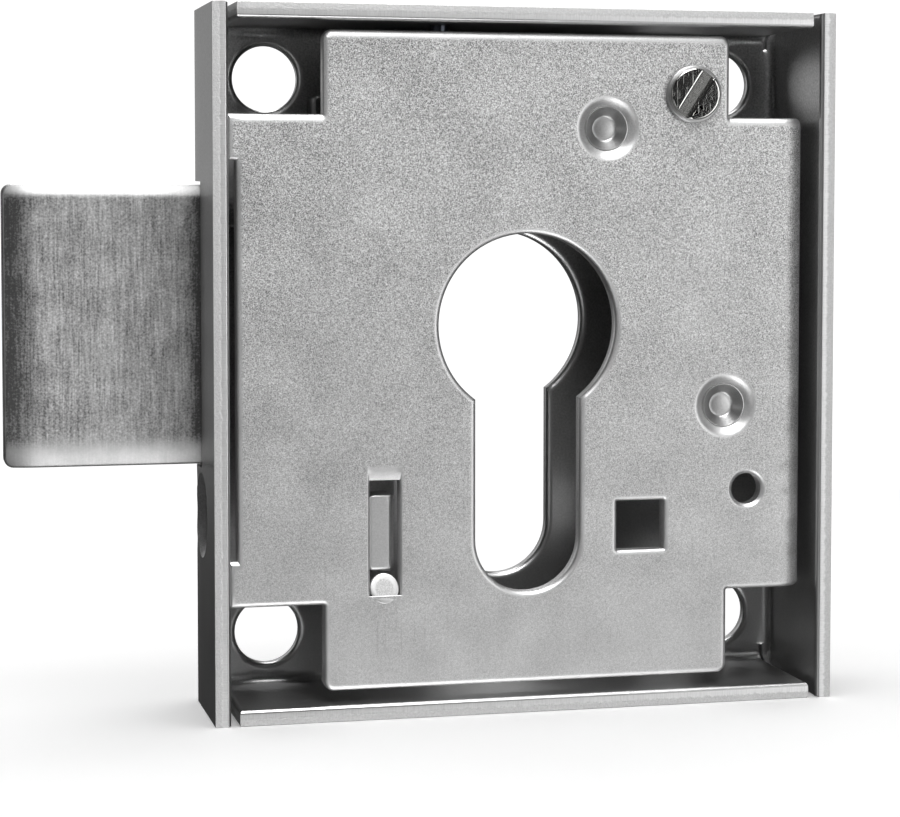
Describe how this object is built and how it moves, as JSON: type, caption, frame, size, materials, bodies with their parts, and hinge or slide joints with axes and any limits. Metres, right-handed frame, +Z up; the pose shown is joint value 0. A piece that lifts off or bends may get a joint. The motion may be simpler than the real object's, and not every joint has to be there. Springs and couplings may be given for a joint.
{
  "type": "mortise lock",
  "caption": "Sheet-steel case lock for a profile cylinder: folded open tray, recessed cross-shaped cover plate, thrown rectangular deadbolt, corner fixing holes and a slotted cover screw.",
  "frame": {"origin": "bottom centre of the whole lock's box, bolt thrown: on the plane the case stands on, midway between the bolt's tip and the blind side, at half the case's depth", "axes": "+X from the bolt's tip towards the blind side wall, so the bolt points along -X; +Y into the case, from its open rim to the base plate that lies against the door; +Z up, along the case's height, with the round part of the cylinder opening above its slot"},
  "size_m": [0.0786, 0.015, 0.0665],
  "materials": {
    "case_sheet": "zinc-plated cold-rolled sheet, sheared edges left bare",
    "cover_sheet": "zinc-plated sheet with a fine mottled grain",
    "screw_plating": "bright nickel plating",
    "turned_steel": "turned and zinc plated",
    "spring_steel": "hardened spring steel, blued",
    "bolt_steel": "drawn flat bar, zinc plated, faint grinding lines",
    "tumbler_sheet": "zinc-plated stamping"
  },
  "bodies": {
    "case": {"case_tray": "case_sheet", "cover_plate": "cover_sheet", "cover_screw": "screw_plating", "screw_post": "turned_steel", "upper_stud": "turned_steel", "right_stud": "turned_steel", "upper_stud_clip": "spring_steel", "right_stud_clip": "spring_steel", "spring_peg": "turned_steel"},
    "bolt_body": {"bolt": "bolt_steel", "bolt_stump": "turned_steel", "tail_guide_pin": "turned_steel"},
    "tumbler_body": {"tumbler": "tumbler_sheet", "tumbler_lug": "tumbler_sheet", "tumbler_spring": "spring_steel"}
  },
  "joints": [
    {"name": "bolt_slide", "type": "slide", "parent": "case", "child": "bolt_body", "axis": [1, 0, 0], "range_m": [0, 0.0183]},
    {"name": "tumbler_lift", "type": "slide", "parent": "case", "child": "tumbler_body", "axis": [0, 0, 1], "range_m": [-0.002, 0.001], "stiffness_N_per_m": 120, "springref_m": -0.005, "deforming": ["tumbler_spring"]}
  ]
}
